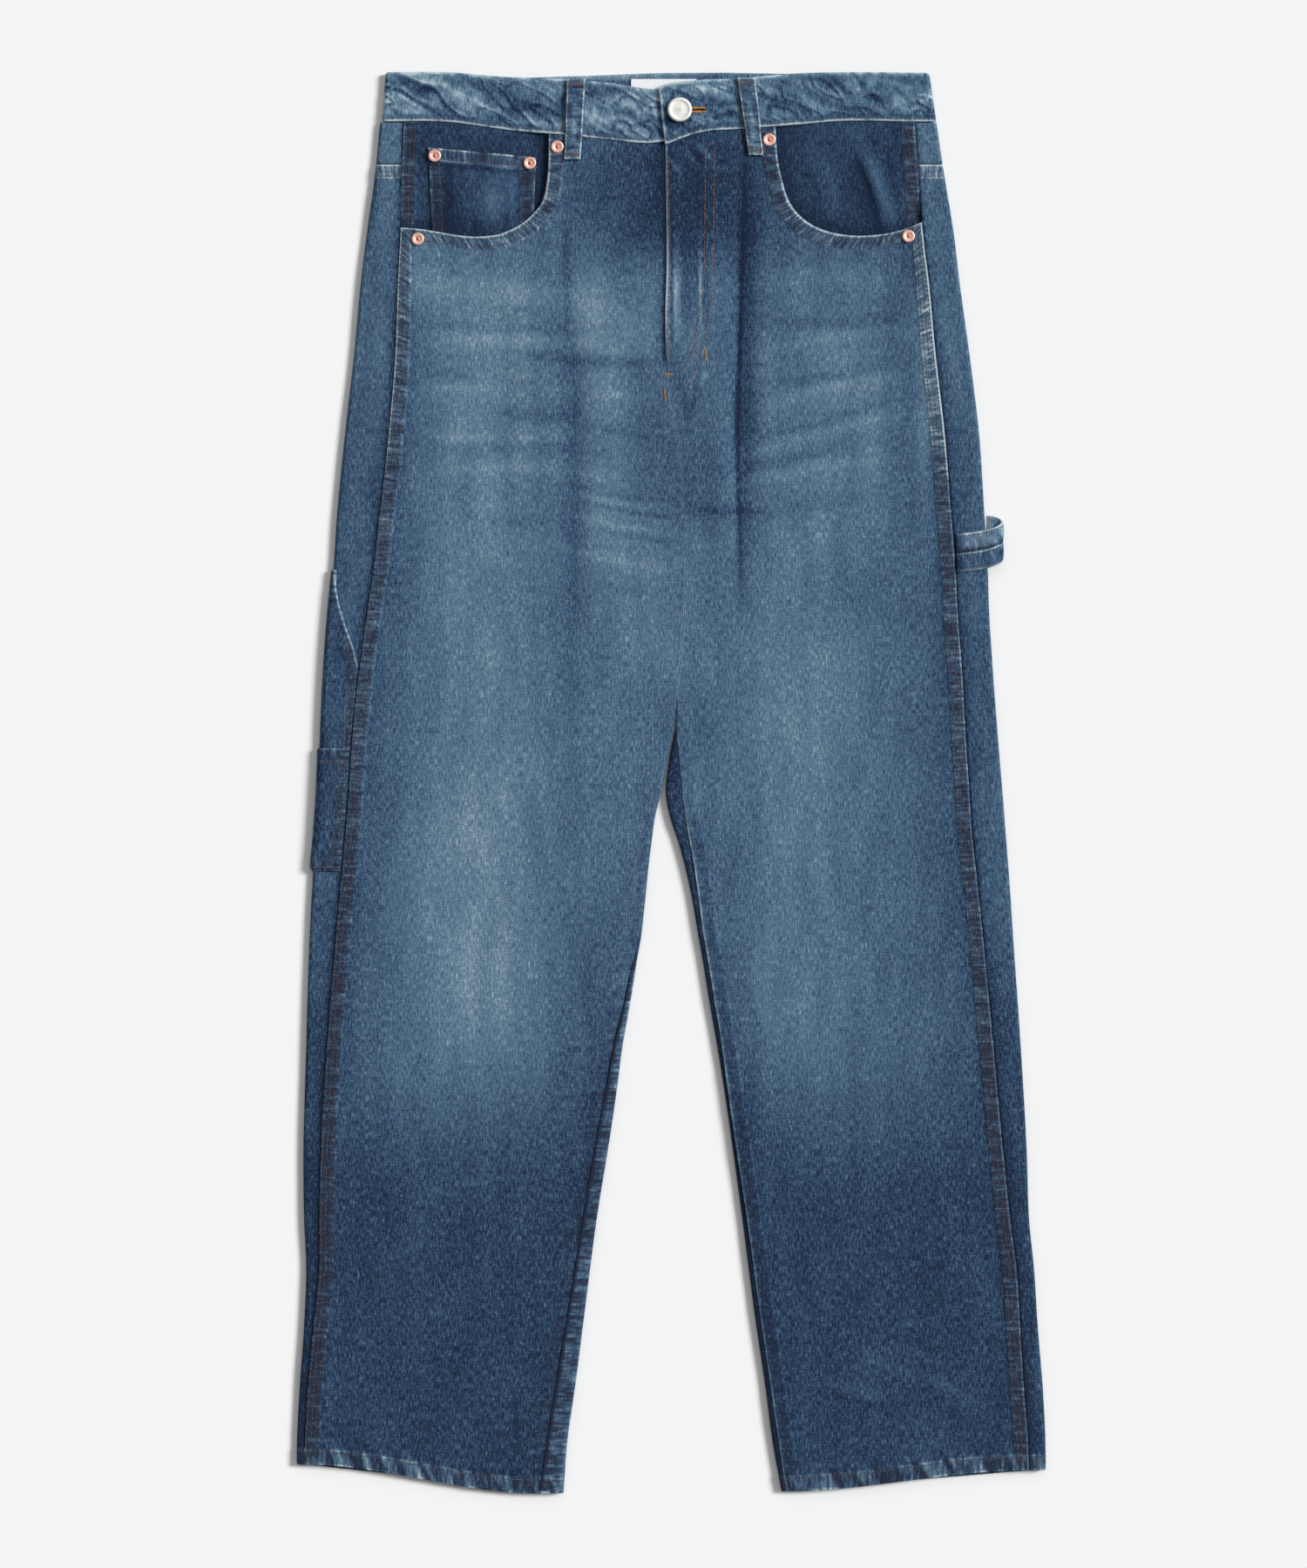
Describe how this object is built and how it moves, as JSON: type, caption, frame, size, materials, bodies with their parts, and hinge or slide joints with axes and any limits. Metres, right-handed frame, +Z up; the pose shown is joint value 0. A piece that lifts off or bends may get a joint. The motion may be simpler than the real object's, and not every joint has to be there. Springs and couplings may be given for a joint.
{
  "type": "jeans",
  "caption": "Wide straight denim work jeans laid flat on their back, lapped at the waist, with scooped pockets, a coin pocket, leg tool pockets and a hammer loop",
  "frame": {"origin": "Under the middle of the whole outline, on the surface that the jeans lie on", "axes": "+X to the wearer's left, +Y up towards the waist, +Z up off the surface towards the front of the jeans"},
  "size_m": [0.5324, 1.0102, 0.0125],
  "materials": {
    "denim": "faded blue denim twill",
    "dark_denim": "less faded blue denim twill",
    "tab_cloth": "plain pale woven tab",
    "copper": "polished copper-coloured metal",
    "steel": "pale polished metal"
  },
  "bodies": {
    "root": {"front_right": "denim", "front_left": "denim", "back_right": "denim", "back_left": "denim", "yoke_right": "denim", "yoke_left": "denim", "waistband": "denim", "pocket_facing_right": "dark_denim", "pocket_facing_left": "dark_denim", "coin_pocket": "dark_denim", "belt_loop_right": "denim", "belt_loop_left": "denim", "tool_pocket": "denim", "tool_pocket_small": "denim", "hammer_loop": "denim", "label": "tab_cloth", "button": "steel", "rivet_1": "copper", "rivet_2": "copper", "rivet_3": "copper", "rivet_4": "copper", "rivet_5": "copper", "rivet_6": "copper"}
  },
  "joints": []
}
